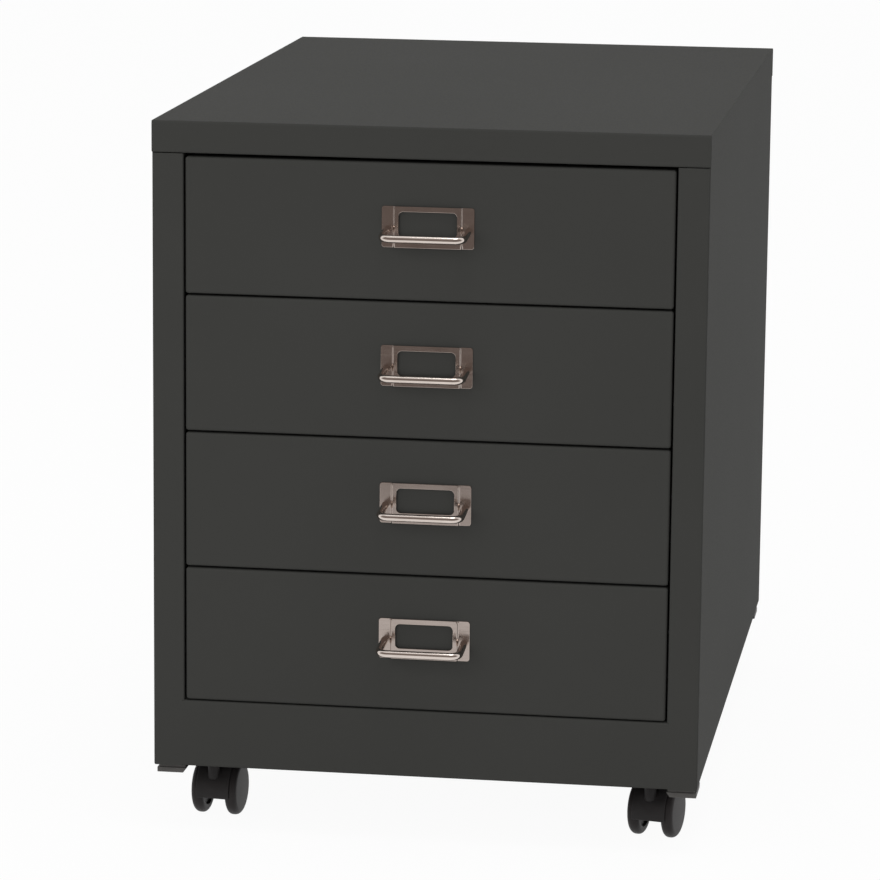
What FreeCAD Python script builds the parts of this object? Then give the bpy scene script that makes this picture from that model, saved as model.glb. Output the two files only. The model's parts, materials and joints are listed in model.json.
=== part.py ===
"""A small steel drawer cabinet on four twin-wheel castors, in millimetres.

+X is right, +Y is towards the back, +Z is up. The floor is at z = 0, and x = 0, y = 0 is the
middle of the cabinet's plan, pull bars included. Each sub-part is written to parts/NAME.step.
"""
import FreeCAD, Part
import math
import os

from FreeCAD import Vector

# Cabinet
cabinet_width = 400.0
cabinet_depth = 600.0
body_height = 475.0
floor_clearance = 50.0
sheet = 1.0
bend_radius = 0.6
overrun = 5.0
full_turn = 360.0

# Lid
lid_overhang = 0.5
lid_side_overhang = 0.3
lid_band_height = 23.0
lid_lip_depth = 14.0
lid_seam = 0.4
lid_edge_radius = 0.6

# Side panels and their stiles
stile_width = 23.0
stile_return = 14.0
side_flange = 15.0
side_edge_radius = 1.4

# Plinth and base
plinth_height = 49.6
plinth_flange = 14.0
base_flange = 12.0

# Front top rail
rail_depth = 30.0
rail_height = 20.0
rail_setback = 2.0

# Rivets that close the back
rivet_count = 4
rivet_head_diameter = 7.0
rivet_head_height = 0.4
rivet_shank_diameter = 4.0
rivet_tail_height = 1.6
rivet_clearance = 0.1
rivet_end_margin = 50.0

# Slide uprights
upright_width = 30.0
upright_foot = 10.0
front_upright_setback = 70.0
rear_upright_setback = 480.0

# Drawers
drawer_count = 4
gap_above_drawers = 2.4
gap_between_drawers = 1.4
gap_below_drawers = 0.9
gap_beside_drawers = 1.4
front_depth = 14.0
front_lip = 14.0
front_edge_radius = 2.0
drawer_travel = 420.0

# Drawer trays
tray_lift = 8.0
tray_height = 76.0
tray_overlength = 2.0
tray_corner_radius = 2.0
tray_hem = 8.0
access_hole_diameter = 10.0

# Ball-bearing runners
runner_length = 540.0
runner_thickness = 12.7
runner_sheet = 1.2
runner_bend = 0.4
runner_setback = 1.0
cabinet_runner_height = 35.0
cabinet_runner_reach = 10.8
cabinet_runner_lip = 4.3
drawer_runner_height = 24.0
drawer_runner_reach = 9.2
cage_length = 116.0
cage_sheet = 0.6
cage_offset = 2.1
cage_arm_reach = 7.0
ball_diameter = 4.0
ball_clearance = 0.15
ball_count = 4
ball_offset = 6.2

# Label plates
plate_width = 66.5
plate_height = 29.7
plate_rise = 3.6
plate_sheet = 0.8
plate_corner_radius = 2.0
plate_flank = 8.4
pocket_step = 1.0
pocket_height = 1.4
window_width = 41.8
window_height = 17.9
window_top_margin = 3.9
window_corner_radius = 3.3

# Pull bars
bar_diameter = 5.4
bar_bend_radius = 6.5
bar_projection = 30.0
bar_leg_height = 13.0
bar_drop = 2.6
leg_hole_clearance = 0.1

# Screws behind the pull bars
screw_diameter = 3.0
screw_clearance = 0.1
screw_depth = 6.0
screw_head_diameter = 6.0
screw_head_height = 2.0

# Corner feet
foot_width = 22.0
foot_length = 31.0
foot_thickness = 3.8
foot_bevel = 2.8
foot_side_inset = 1.3
foot_end_inset = 7.0
foot_neck_height = 3.6
foot_neck_inset = 1.2

# Castors
castor_side_inset = 37.4
castor_end_inset = 38.6
castor_trail = 16.0
wheel_diameter = 40.0
wheel_gap = 17.0
castor_width = 34.8
wheel_outer_radius = 4.2
wheel_inner_radius = 3.4
wheel_recess_diameter = 28.0
wheel_recess_depth = 2.0
wheel_boss_diameter = 12.0
axle_diameter = 6.0
axle_length = 30.0
axle_clearance = 0.1
axle_fit = 0.03
hood_clearance = 0.7
hood_wall = 1.1
hood_width = 25.0
hood_front_angle = 10.0
hood_rear_angle = 15.0
hood_web = 13.6
hood_hub_diameter = 17.0
stem_boss_diameter = 9.0
stem_boss_bottom = 30.0
hood_flange_diameter = 20.0
hood_flange_height = 3.0
swivel_gap = 0.3
stem_diameter = 8.0
pin_diameter = 6.0
pin_fit = 0.06
stem_tip_height = 28.0
collar_diameter = 22.0
collar_height = 3.5
nut_width = 13.0
nut_height = 6.5
nut_sides = 6
thread_end = 2.0
thread_clearance = 0.1

# How far each castor stands turned about its stem, in degrees
castor_turns = {"front_left": -5.5, "front_right": -11.5, "rear_left": 0.0, "rear_right": 0.0}

# Places worked out from the sizes above
bar_reach = bar_projection + bar_diameter / 2
overall_depth = cabinet_depth + bar_reach - lid_overhang
rear_y = overall_depth / 2
lid_front_y = rear_y - cabinet_depth
face_y = lid_front_y + lid_overhang
body_back_y = rear_y - lid_overhang
lid_half_width = cabinet_width / 2
body_half_width = lid_half_width - lid_side_overhang
inside_half_width = body_half_width - sheet
opening_half_width = lid_half_width - stile_width
bottom_z = floor_clearance
top_z = bottom_z + body_height
lid_underside_z = top_z - sheet
band_bottom_z = top_z - lid_band_height
plinth_top_z = bottom_z + plinth_height
base_underside_z = bottom_z + sheet
base_top_z = base_underside_z + sheet
drawer_gaps = gap_above_drawers + gap_below_drawers + (drawer_count - 1) * gap_between_drawers
front_height = (band_bottom_z - plinth_top_z - drawer_gaps) / drawer_count
front_half_width = opening_half_width - gap_beside_drawers
tray_half_width = opening_half_width - runner_thickness
tray_front_y = face_y + front_depth
runner_front_y = tray_front_y + runner_setback
axle_z = wheel_diameter / 2
hood_inner_radius = wheel_diameter / 2 + hood_clearance
hood_outer_radius = hood_inner_radius + hood_wall
collar_bottom_z = base_underside_z - collar_height


def block(low, high):
    """A box from its lowest corner to its highest corner."""
    size = [top - bottom for bottom, top in zip(low, high)]
    return Part.makeBox(size[0], size[1], size[2], Vector(*low))


def rod(radius, start, end):
    """A round rod between two points."""
    along = end - start
    return Part.makeCylinder(radius, along.Length, start, along)


def mirrored(shape):
    """The same shape on the other side of the cabinet's middle."""
    return shape.mirror(Vector(0, 0, 0), Vector(1, 0, 0))


def turned(shape, place, degrees):
    """A copy of a castor's piece, turned about its stem."""
    copy = shape.copy()
    copy.rotate(place, Vector(0, 0, 1), degrees)
    return copy


def both_sides(shape):
    """A right-hand piece and its left-hand twin, as separate solids."""
    return Part.makeCompound([mirrored(shape), shape])


def on_plan(z):
    """Puts an outline's (u, v) at (x, y) on a level plane."""
    return lambda point: Vector(point.x, point.y, z)


def on_front(y):
    """Puts an outline's (u, v) at (x, z) on an upright plane across the cabinet."""
    return lambda point: Vector(point.x, y, point.y)


def on_side(x):
    """Puts an outline's (u, v) at (y, z) on an upright plane along the cabinet."""
    return lambda point: Vector(x, point.x, point.y)


def corner_arc(before, corner, after, radius):
    """Start, middle and end of the arc that rounds a corner."""
    to_before = (before - corner).normalize()
    to_after = (after - corner).normalize()
    half_angle = to_before.getAngle(to_after) / 2
    setback = radius / math.tan(half_angle)
    inwards = (to_before + to_after).normalize()
    depth = radius / math.sin(half_angle) - radius
    return corner + to_before * setback, corner + inwards * depth, corner + to_after * setback


def rounded_wire(points, radii, place, closed=True):
    """A wire through the points, each rounded by its own radius and put in space by place."""
    count = len(points)
    stations = []
    for index, point in enumerate(points):
        if radii[index] > 0:
            after = points[(index + 1) % count]
            stations.append(corner_arc(points[index - 1], point, after, radii[index]))
        else:
            stations.append((point, point, point))
    edges = []
    for index, (start, middle, end) in enumerate(stations):
        if radii[index] > 0:
            edges.append(Part.Arc(place(start), place(middle), place(end)).toShape())
        if closed or index < count - 1:
            next_start = stations[(index + 1) % count][0]
            edges.append(Part.makeLine(place(end), place(next_start)))
    return Part.Wire(edges)


def prism(points, radii, place, along):
    """A solid with a rounded outline, extruded along a vector."""
    return Part.Face(rounded_wire(points, radii, place)).extrude(along)


def flat(u, v):
    """A point of an outline."""
    return Vector(u, v, 0)


def folded_sheet(path, thickness, bend, place, along):
    """Sheet metal folded along a path, its thickness to the path's left, extruded along."""
    last = len(path) - 1
    offsets = []
    path_radii = []
    offset_radii = []
    for index, corner in enumerate(path):
        before = path[max(index - 1, 0)]
        after = path[min(index + 1, last)]
        arriving = ((corner - before) if index > 0 else (after - corner)).normalize()
        leaving = ((after - corner) if index < last else (corner - before)).normalize()
        first_normal = Vector(-arriving.y, arriving.x, 0)
        second_normal = Vector(-leaving.y, leaving.x, 0)
        scale = thickness / (1 + first_normal.dot(second_normal))
        offsets.append(corner + (first_normal + second_normal) * scale)
        turn = arriving.cross(leaving).z
        at_end = index in (0, last)
        path_radii.append(0 if at_end else bend + (thickness if turn > 0 else 0))
        offset_radii.append(0 if at_end else bend + (0 if turn > 0 else thickness))
    outline = path + offsets[::-1]
    radii = path_radii + offset_radii[::-1]
    return prism(outline, radii, place, along)


def edges_where(shape, test):
    """The straight edges of a shape whose two end points pass a test."""
    chosen = []
    for edge in shape.Edges:
        ends = [vertex.Point for vertex in edge.Vertexes]
        if len(ends) == 2 and test(*ends):
            chosen.append(edge)
    return chosen


def near(first, second):
    """Whether two coordinates are the same place."""
    return math.isclose(first, second, abs_tol=sheet / 1000)


def make_lid():
    """The lid: a top sheet with a band folded down at the front and the back."""
    path = [
        flat(rear_y, band_bottom_z),
        flat(rear_y, top_z),
        flat(lid_front_y, top_z),
        flat(lid_front_y, band_bottom_z),
        flat(lid_front_y + lid_lip_depth, band_bottom_z),
    ]
    width = Vector(cabinet_width, 0, 0)
    lid = folded_sheet(path, sheet, bend_radius, on_side(-lid_half_width), width)
    side_edges = edges_where(lid, lambda start, end: near(start.z, top_z) and near(end.z, top_z)
                             and near(abs(start.x), lid_half_width) and near(start.x, end.x))
    lid = lid.makeFillet(lid_edge_radius, side_edges)
    lip_end = block(
        (inside_half_width - lid_seam, lid_front_y + sheet, band_bottom_z - overrun),
        (lid_half_width + overrun, lid_front_y + lid_lip_depth + overrun, band_bottom_z + sheet),
    )
    return lid.cut([lip_end, mirrored(lip_end)])


def make_side_panel():
    """The right side panel: a wall with its stile, return and three flanges."""
    low = (opening_half_width, face_y, bottom_z)
    high = (body_half_width, body_back_y, lid_underside_z)
    shell = block(low, high)
    outer_edges = edges_where(
        shell,
        lambda start, end: (near(start.x, end.x) and near(start.y, end.y))
        or (near(start.x, body_half_width) and near(end.x, body_half_width)
            and near(start.z, bottom_z) and near(end.z, bottom_z)),
    )
    shell = shell.makeFillet(side_edge_radius, outer_edges)
    cavity = block(
        (low[0] + sheet, low[1] + sheet, low[2] + sheet),
        (high[0] - sheet, high[1] - sheet, high[2] - sheet),
    )
    open_side = block(
        (low[0] - overrun, low[1] + stile_return, low[2] - overrun),
        (high[0] - side_flange, high[1] + overrun, high[2] + overrun),
    )
    seam_z = band_bottom_z - lid_seam
    above_stile = block(
        (low[0] - overrun, low[1] - overrun, seam_z),
        (high[0] - sheet, low[1] + stile_return + overrun, high[2] - sheet),
    )
    band_room = block(
        (low[0] - overrun, low[1] - overrun, seam_z),
        (high[0] + overrun, lid_front_y + sheet + lid_seam, high[2] + overrun),
    )
    rear_band_room = block(
        (low[0] - overrun, rear_y - sheet - lid_seam, seam_z),
        (high[0] + overrun, high[1] + overrun, high[2] + overrun),
    )
    plinth_room = block(
        (low[0] - overrun, low[1] - overrun, low[2] - overrun),
        (plinth_half_width(), low[1] + stile_return + overrun, plinth_top_z),
    )
    cuts = [cavity, open_side, above_stile, band_room, rear_band_room, plinth_room]
    return shell.cut(cuts + rivet_holes())


def plinth_half_width():
    """Where the plinth ends: past the rounded edge of the stile."""
    return opening_half_width + side_edge_radius


def make_plinth():
    """The plinth: a front plate with a flange folded back at its top and its bottom."""
    path = [
        flat(face_y + plinth_flange, plinth_top_z),
        flat(face_y, plinth_top_z),
        flat(face_y, bottom_z),
        flat(face_y + plinth_flange, bottom_z),
    ]
    half = plinth_half_width()
    return folded_sheet(path, sheet, bend_radius, on_side(-half), Vector(2 * half, 0, 0))


def castor_places():
    """The four swivel axes, with the name of each corner."""
    x = lid_half_width - castor_side_inset
    front = lid_front_y + castor_end_inset
    rear = rear_y - castor_end_inset
    return {
        "front_left": Vector(-x, front, 0),
        "front_right": Vector(x, front, 0),
        "rear_left": Vector(-x, rear, 0),
        "rear_right": Vector(x, rear, 0),
    }


def make_base_panel():
    """The base: a tray that lies on the side flanges and carries the castors."""
    front = face_y + sheet
    back = body_back_y - 2 * sheet
    flange_top = base_underside_z + base_flange
    path = [
        flat(front, flange_top),
        flat(front, base_underside_z),
        flat(back, base_underside_z),
        flat(back, flange_top),
    ]
    width = Vector(2 * inside_half_width, 0, 0)
    base = folded_sheet(path, sheet, bend_radius, on_side(-inside_half_width), width)
    hole_radius = stem_diameter / 2 + thread_clearance
    holes = []
    for place in castor_places().values():
        start = Vector(place.x, place.y, base_underside_z - overrun)
        holes.append(rod(hole_radius, start, start + Vector(0, 0, 2 * overrun + sheet)))
    return base.cut(holes)


def rivet_places():
    """The rivets down each rear edge, as (x, z)."""
    x = body_half_width - side_flange / 2
    low = bottom_z + rivet_end_margin
    high = band_bottom_z - rivet_end_margin
    step = (high - low) / (rivet_count - 1)
    return [(side * x, low + index * step) for side in (-1, 1) for index in range(rivet_count)]


def make_rear_panel():
    """The rear panel: a sheet behind the side panels' rear flanges."""
    panel = block(
        (-inside_half_width, body_back_y - 2 * sheet, base_underside_z),
        (inside_half_width, body_back_y - sheet, lid_underside_z - sheet),
    )
    return panel.cut(rivet_holes())


def rivet_holes():
    """The holes through both sheets for the rear rivets."""
    radius = rivet_shank_diameter / 2 + rivet_clearance
    holes = []
    for x, z in rivet_places():
        start = Vector(x, body_back_y - 2 * sheet - overrun, z)
        holes.append(rod(radius, start, start + Vector(0, 2 * overrun + 2 * sheet, 0)))
    return holes


def make_rear_rivets():
    """The rivets that join the rear panel to the side panels."""
    rivets = []
    for x, z in rivet_places():
        outside = Vector(x, body_back_y, z)
        inside = Vector(x, body_back_y - 2 * sheet, z)
        head = rod(rivet_head_diameter / 2, outside, outside + Vector(0, rivet_head_height, 0))
        shank = rod(rivet_shank_diameter / 2, inside, outside)
        tail = Part.makeCone(rivet_shank_diameter / 2, rivet_head_diameter / 2, rivet_tail_height,
                             inside - Vector(0, rivet_tail_height, 0), Vector(0, 1, 0))
        rivets.append(head.fuse([shank, tail]).removeSplitter())
    return Part.makeCompound(rivets)


def make_top_rail():
    """The rail behind the lid's band, which holds the side panels apart."""
    front = face_y + stile_return + rail_setback
    top = lid_underside_z - sheet
    path = [
        flat(front + rail_depth, top - rail_height),
        flat(front + rail_depth, top),
        flat(front, top),
        flat(front, top - rail_height),
    ]
    width = Vector(2 * inside_half_width, 0, 0)
    return folded_sheet(path, sheet, bend_radius, on_side(-inside_half_width), width)


def make_uprights():
    """The right side's two uprights, which carry the runners level with the stile."""
    uprights = []
    height = Vector(0, 0, lid_underside_z - sheet - base_top_z)
    for setback in (front_upright_setback, rear_upright_setback):
        low_y = face_y + setback
        high_y = low_y + upright_width
        web_x = opening_half_width + sheet
        path = [
            flat(inside_half_width, low_y - upright_foot),
            flat(inside_half_width, low_y),
            flat(web_x, low_y),
            flat(web_x, high_y),
            flat(inside_half_width, high_y),
            flat(inside_half_width, high_y + upright_foot),
        ]
        uprights.append(folded_sheet(path, sheet, bend_radius, on_plan(base_top_z), height))
    return Part.makeCompound(uprights)


def front_bottom_z(number):
    """The lowest point of a drawer front, counted from the top."""
    above = drawer_count - number
    return plinth_top_z + gap_below_drawers + above * (front_height + gap_between_drawers)


def runner_z(number):
    """The level of a drawer's runners."""
    return front_bottom_z(number) + tray_lift + tray_height / 2


def make_cabinet_runners():
    """The right side's cabinet runners, one above another."""
    runners = []
    half = cabinet_runner_height / 2
    web_x = opening_half_width
    lip_x = web_x - cabinet_runner_reach
    for number in range(1, drawer_count + 1):
        z = runner_z(number)
        path = [
            flat(lip_x, z - half + cabinet_runner_lip),
            flat(lip_x, z - half),
            flat(web_x, z - half),
            flat(web_x, z + half),
            flat(lip_x, z + half),
            flat(lip_x, z + half - cabinet_runner_lip),
        ]
        length = Vector(0, runner_length, 0)
        runners.append(folded_sheet(path, runner_sheet, runner_bend, on_front(runner_front_y), length))
    return Part.makeCompound(runners)


def make_drawer_runners(number):
    """A drawer's own pair of runners, which hold its balls from inside."""
    half = drawer_runner_height / 2
    web_x = tray_half_width
    edge_x = web_x + drawer_runner_reach
    z = runner_z(number)
    path = [
        flat(edge_x, z + half),
        flat(web_x, z + half),
        flat(web_x, z - half),
        flat(edge_x, z - half),
    ]
    length = Vector(0, runner_length, 0)
    runner = folded_sheet(path, runner_sheet, runner_bend, on_front(runner_front_y), length)
    return both_sides(runner)


def make_ball_cages(number):
    """A drawer's pair of ball cages, each a folded strip with balls in its two arms."""
    z = runner_z(number)
    ball_level = (drawer_runner_height + cabinet_runner_height - 2 * runner_sheet) / 4
    half = ball_level + cage_sheet / 2
    web_x = opening_half_width - cage_offset
    edge_x = web_x - cage_arm_reach
    front = runner_front_y + drawer_travel / 2
    path = [
        flat(edge_x, z - half),
        flat(web_x, z - half),
        flat(web_x, z + half),
        flat(edge_x, z + half),
    ]
    length = Vector(0, cage_length, 0)
    cage = folded_sheet(path, cage_sheet, runner_bend, on_front(front), length)
    balls = []
    holes = []
    hole_radius = ball_diameter / 2 + ball_clearance
    hole_height = Vector(0, 0, 2 * cage_sheet)
    for index in range(ball_count):
        y = front + (index + 1) * cage_length / (ball_count + 1)
        for level in (z - ball_level, z + ball_level):
            centre = Vector(opening_half_width - ball_offset, y, level)
            balls.append(Part.makeSphere(ball_diameter / 2, centre))
            holes.append(rod(hole_radius, centre - hole_height, centre + hole_height))
    cage = cage.cut(holes)
    right = [cage] + balls
    left = [mirrored(solid) for solid in right]
    return Part.makeCompound(left + right)


def make_front(number):
    """A drawer front: a pan with rounded front edges and a lip round its open back."""
    low_z = front_bottom_z(number)
    high_z = low_z + front_height
    back_y = face_y + front_depth
    pan = block((-front_half_width, face_y, low_z), (front_half_width, back_y, high_z))
    rounded = edges_where(
        pan,
        lambda start, end: not near(start.y, end.y) or (near(start.y, face_y) and near(end.y, face_y)),
    )
    pan = pan.makeFillet(front_edge_radius, rounded)
    cavity = block(
        (-front_half_width + sheet, face_y + sheet, low_z + sheet),
        (front_half_width - sheet, back_y - sheet, high_z - sheet),
    )
    back_opening = block(
        (-front_half_width + front_lip, back_y - sheet - overrun, low_z + front_lip),
        (front_half_width - front_lip, back_y + overrun, high_z - front_lip),
    )
    holes = []
    for x in (-bar_half_width(), bar_half_width()):
        start = Vector(x, face_y - overrun, leg_z(number))
        radius = screw_diameter / 2 + screw_clearance
        holes.append(rod(radius, start, start + Vector(0, 2 * overrun, 0)))
    return pan.cut([cavity, back_opening] + holes)


def make_tray(number):
    """A drawer tray: folded walls and floor, with the sides and the back hemmed outwards."""
    low = (-tray_half_width, tray_front_y, front_bottom_z(number) + tray_lift)
    high = (tray_half_width, tray_front_y + runner_length + tray_overlength, low[2] + tray_height)
    shell = block(low, high)
    corners = edges_where(shell, lambda start, end: not near(start.z, end.z))
    shell = shell.makeFillet(tray_corner_radius, corners)
    cavity = block(
        (low[0] + sheet, low[1] + sheet, low[2] + sheet),
        (high[0] - sheet, high[1] - sheet, high[2] + overrun),
    )
    inner_corners = edges_where(cavity, lambda start, end: not near(start.z, end.z))
    cavity = cavity.makeFillet(tray_corner_radius - sheet, inner_corners)
    hem_bottom = high[2] - tray_hem
    side_hem = block(
        (high[0] - sheet, low[1] + tray_corner_radius, hem_bottom),
        (high[0] + sheet, high[1] - tray_corner_radius, high[2]),
    )
    rear_hem = block(
        (low[0] + tray_corner_radius, high[1] - sheet, hem_bottom),
        (high[0] - tray_corner_radius, high[1] + sheet, high[2]),
    )
    holes = []
    for x in (-bar_half_width(), bar_half_width()):
        start = Vector(x, tray_front_y - overrun, leg_z(number))
        holes.append(rod(access_hole_diameter / 2, start, start + Vector(0, 2 * overrun, 0)))
    return shell.cut([cavity] + holes).fuse([side_hem, mirrored(side_hem), rear_hem]).removeSplitter()


def plate_bottom_z(number):
    """The lower edge of a drawer's label plate."""
    return front_bottom_z(number) + front_height / 2 + plate_rise - plate_height / 2


def leg_z(number):
    """The level at which a pull bar's legs meet the drawer front."""
    return plate_bottom_z(number) + bar_leg_height


def bar_half_width():
    """Half the distance between a pull bar's legs: the middle of the plate's flanks."""
    return (plate_width - plate_flank) / 2


def make_label_plate(number):
    """A label plate: two flat flanks, a raised pocket between them and its window."""
    half = plate_width / 2
    fold_x = half - plate_flank
    pocket_x = fold_x - pocket_step
    pocket_y = face_y - pocket_height
    low_z = plate_bottom_z(number)
    path = [
        flat(half, face_y),
        flat(fold_x, face_y),
        flat(pocket_x, pocket_y),
        flat(-pocket_x, pocket_y),
        flat(-fold_x, face_y),
        flat(-half, face_y),
    ]
    height = Vector(0, 0, plate_height)
    plate = folded_sheet(path, plate_sheet, bend_radius, on_plan(low_z), height)
    corners = edges_where(
        plate,
        lambda start, end: near(abs(start.x), half) and near(start.x, end.x) and near(start.z, end.z),
    )
    plate = plate.makeFillet(plate_corner_radius, corners)
    window_top = low_z + plate_height - window_top_margin
    window_side = window_width / 2
    window_points = [
        flat(-window_side, window_top - window_height),
        flat(window_side, window_top - window_height),
        flat(window_side, window_top),
        flat(-window_side, window_top),
    ]
    depth = Vector(0, 2 * overrun, 0)
    radii = [window_corner_radius] * len(window_points)
    cuts = [prism(window_points, radii, on_front(face_y - overrun), depth)]
    for x in (-bar_half_width(), bar_half_width()):
        start = Vector(x, face_y - overrun, leg_z(number))
        cuts.append(rod(bar_diameter / 2 + leg_hole_clearance, start, start + depth))
    return plate.cut(cuts)


def make_pull_bar(number):
    """A wire pull: a straight bar with two bent legs that run back to the drawer front."""
    half = bar_half_width()
    root_z = leg_z(number)
    slope = bar_drop / bar_projection
    root_y = face_y + overrun
    bar_y = face_y - bar_projection
    bar_z = root_z - bar_drop
    route = [
        Vector(-half, root_y, root_z + overrun * slope),
        Vector(-half, bar_y, bar_z),
        Vector(half, bar_y, bar_z),
        Vector(half, root_y, root_z + overrun * slope),
    ]
    bends = [0, bar_bend_radius, bar_bend_radius, 0]
    spine = rounded_wire(route, bends, lambda point: point, closed=False)
    section = Part.Wire(Part.makeCircle(bar_diameter / 2, route[0], route[1] - route[0]))
    bar = spine.makePipeShell([section], True, False)
    behind = block(
        (-half - bar_diameter, face_y, root_z - bar_diameter - overrun),
        (half + bar_diameter, root_y + bar_diameter, root_z + bar_diameter + overrun),
    )
    bores = []
    for x in (-half, half):
        bottom = Vector(x, face_y - screw_depth - screw_clearance, root_z)
        bores.append(rod(screw_diameter / 2 + screw_clearance, bottom, Vector(x, root_y, root_z)))
    return bar.cut([behind] + bores)


def make_handle_screws(number):
    """The two screws that hold a pull bar from behind the drawer front."""
    screws = []
    for x in (-bar_half_width(), bar_half_width()):
        seat = Vector(x, face_y + sheet, leg_z(number))
        tip = Vector(x, face_y - screw_depth, leg_z(number))
        shank = rod(screw_diameter / 2, tip, seat)
        head = rod(screw_head_diameter / 2, seat, seat + Vector(0, screw_head_height, 0))
        screws.append(shank.fuse(head).removeSplitter())
    return Part.makeCompound(screws)


def make_corner_feet():
    """The bevelled pads under the four corners of the body."""
    top = bottom_z - foot_neck_height
    low = top - foot_thickness
    outer_x = lid_half_width - foot_side_inset
    inner_x = outer_x - foot_width
    front = lid_front_y + foot_end_inset
    back = front + foot_length
    across = [flat(inner_x, top), flat(inner_x + foot_bevel, low), flat(outer_x, low), flat(outer_x, top)]
    along = [flat(front, low), flat(back - foot_bevel, low), flat(back, top), flat(front, top)]
    square = [0] * len(across)
    pad = prism(across, square, on_front(front), Vector(0, foot_length, 0))
    pad = pad.common(prism(along, square, on_side(inner_x), Vector(foot_width, 0, 0)))
    neck = block(
        (inner_x + foot_neck_inset, front + foot_neck_inset, top),
        (outer_x - foot_neck_inset, back - foot_neck_inset, bottom_z),
    )
    front_right = pad.fuse(neck).removeSplitter()
    middle_y = (lid_front_y + rear_y) / 2
    rear_right = front_right.mirror(Vector(0, middle_y, 0), Vector(0, 1, 0))
    right = [front_right, rear_right]
    return Part.makeCompound([mirrored(foot) for foot in right] + right)


def make_castor_stems():
    """The four castor stems, each with the collar that seats under the base."""
    stems = []
    for place in castor_places().values():
        tip = place + Vector(0, 0, stem_tip_height)
        seat = place + Vector(0, 0, collar_bottom_z)
        under = place + Vector(0, 0, base_underside_z)
        end = place + Vector(0, 0, base_top_z + nut_height + thread_end)
        pin = rod(pin_diameter / 2 - pin_fit, tip, seat)
        collar = rod(collar_diameter / 2, seat, under)
        thread = rod(stem_diameter / 2, under, end)
        stems.append(pin.fuse([collar, thread]).removeSplitter())
    return Part.makeCompound(stems)


def make_castor_nuts():
    """The hexagon nuts that hold the castor stems on top of the base."""
    nuts = []
    corner_radius = nut_width / 2 / math.cos(math.pi / nut_sides)
    for place in castor_places().values():
        seat = place + Vector(0, 0, base_top_z)
        corners = []
        for turn in range(nut_sides):
            angle = math.radians(full_turn * turn / nut_sides)
            corners.append(flat(seat.x + corner_radius * math.cos(angle),
                                seat.y + corner_radius * math.sin(angle)))
        hexagon = prism(corners, [0] * len(corners), on_plan(seat.z), Vector(0, 0, nut_height))
        bore = rod(stem_diameter / 2 + thread_clearance, seat - Vector(0, 0, overrun),
                   seat + Vector(0, 0, nut_height + overrun))
        nuts.append(hexagon.cut(bore))
    return Part.makeCompound(nuts)


def make_hood(place):
    """A castor's swivelling hood: a fender over both wheels, a web and the stem boss."""
    axle = Vector(place.x, place.y + castor_trail, axle_z)
    half = hood_width / 2
    side = Vector(half, 0, 0)
    fender = rod(hood_outer_radius, axle - side, axle + side)
    wheel_room = rod(hood_inner_radius, axle - 2 * side, axle + 2 * side)
    fender = fender.cut(wheel_room)
    web_side = Vector(hood_web / 2, 0, 0)
    web = rod(hood_outer_radius - hood_wall / 2, axle - web_side, axle + web_side)
    reach = 2 * hood_outer_radius
    front_angle = math.radians(hood_front_angle)
    rear_angle = math.radians(hood_rear_angle)
    open_part = [
        flat(axle.y, axle.z),
        flat(axle.y - reach * math.cos(front_angle), axle.z - reach * math.sin(front_angle)),
        flat(axle.y - reach, axle.z - 2 * reach),
        flat(axle.y + reach, axle.z - 2 * reach),
        flat(axle.y + reach * math.cos(rear_angle), axle.z + reach * math.sin(rear_angle)),
    ]
    opening = prism(open_part, [0] * len(open_part), on_side(axle.x - reach), Vector(2 * reach, 0, 0))
    hub = rod(hood_hub_diameter / 2, axle - web_side, axle + web_side)
    flange_top = collar_bottom_z - swivel_gap
    boss = rod(stem_boss_diameter / 2, place + Vector(0, 0, stem_boss_bottom),
               place + Vector(0, 0, flange_top))
    flange = rod(hood_flange_diameter / 2, place + Vector(0, 0, flange_top - hood_flange_height),
                 place + Vector(0, 0, flange_top))
    hood = fender.fuse(web).cut(opening).fuse([hub, boss, flange])
    bore = rod(pin_diameter / 2, place + Vector(0, 0, stem_tip_height - swivel_gap),
               place + Vector(0, 0, flange_top + overrun))
    axle_hole = rod(axle_diameter / 2 + axle_fit, axle - side, axle + side)
    wheel_clearance = []
    for direction in (-1, 1):
        inner = axle + Vector(direction * wheel_gap / 2, 0, 0)
        outer = axle + Vector(direction * (half + overrun), 0, 0)
        wheel_clearance.append(rod(hood_inner_radius, inner - Vector(direction * swivel_gap, 0, 0), outer))
    return hood.cut([bore, axle_hole] + wheel_clearance).removeSplitter()


def make_axle(place):
    """A castor's axle, held in the hood's web."""
    middle = Vector(place.x, place.y + castor_trail, axle_z)
    side = Vector(axle_length / 2, 0, 0)
    return rod(axle_diameter / 2, middle - side, middle + side)


def make_wheel(place, direction):
    """A castor wheel on one side of the hood's web: -1 is left, 1 is right."""
    inner = wheel_gap / 2
    outer = castor_width / 2
    radius = wheel_diameter / 2
    section = [
        flat(0, inner),
        flat(radius, inner),
        flat(radius, outer),
        flat(0, outer),
    ]
    radii = [0, wheel_inner_radius, wheel_outer_radius, 0]
    centre = Vector(place.x, place.y + castor_trail, axle_z)

    def put(point):
        return centre + Vector(direction * point.y, 0, point.x)

    face = Part.Face(rounded_wire(section, radii, put))
    wheel = face.revolve(centre, Vector(1, 0, 0), full_turn)

    def disc(diameter, start, end):
        """A round slug from one distance along the axle to another."""
        return rod(diameter / 2, centre + Vector(direction * start, 0, 0),
                   centre + Vector(direction * end, 0, 0))

    recess = disc(wheel_recess_diameter, inner - overrun, inner + wheel_recess_depth)
    boss = disc(wheel_boss_diameter, inner, inner + 2 * wheel_recess_depth)
    bore = disc(axle_diameter + 2 * axle_clearance, inner - overrun, axle_length / 2 + axle_clearance)
    return wheel.cut(recess).fuse(boss).cut(bore).removeSplitter()


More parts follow.
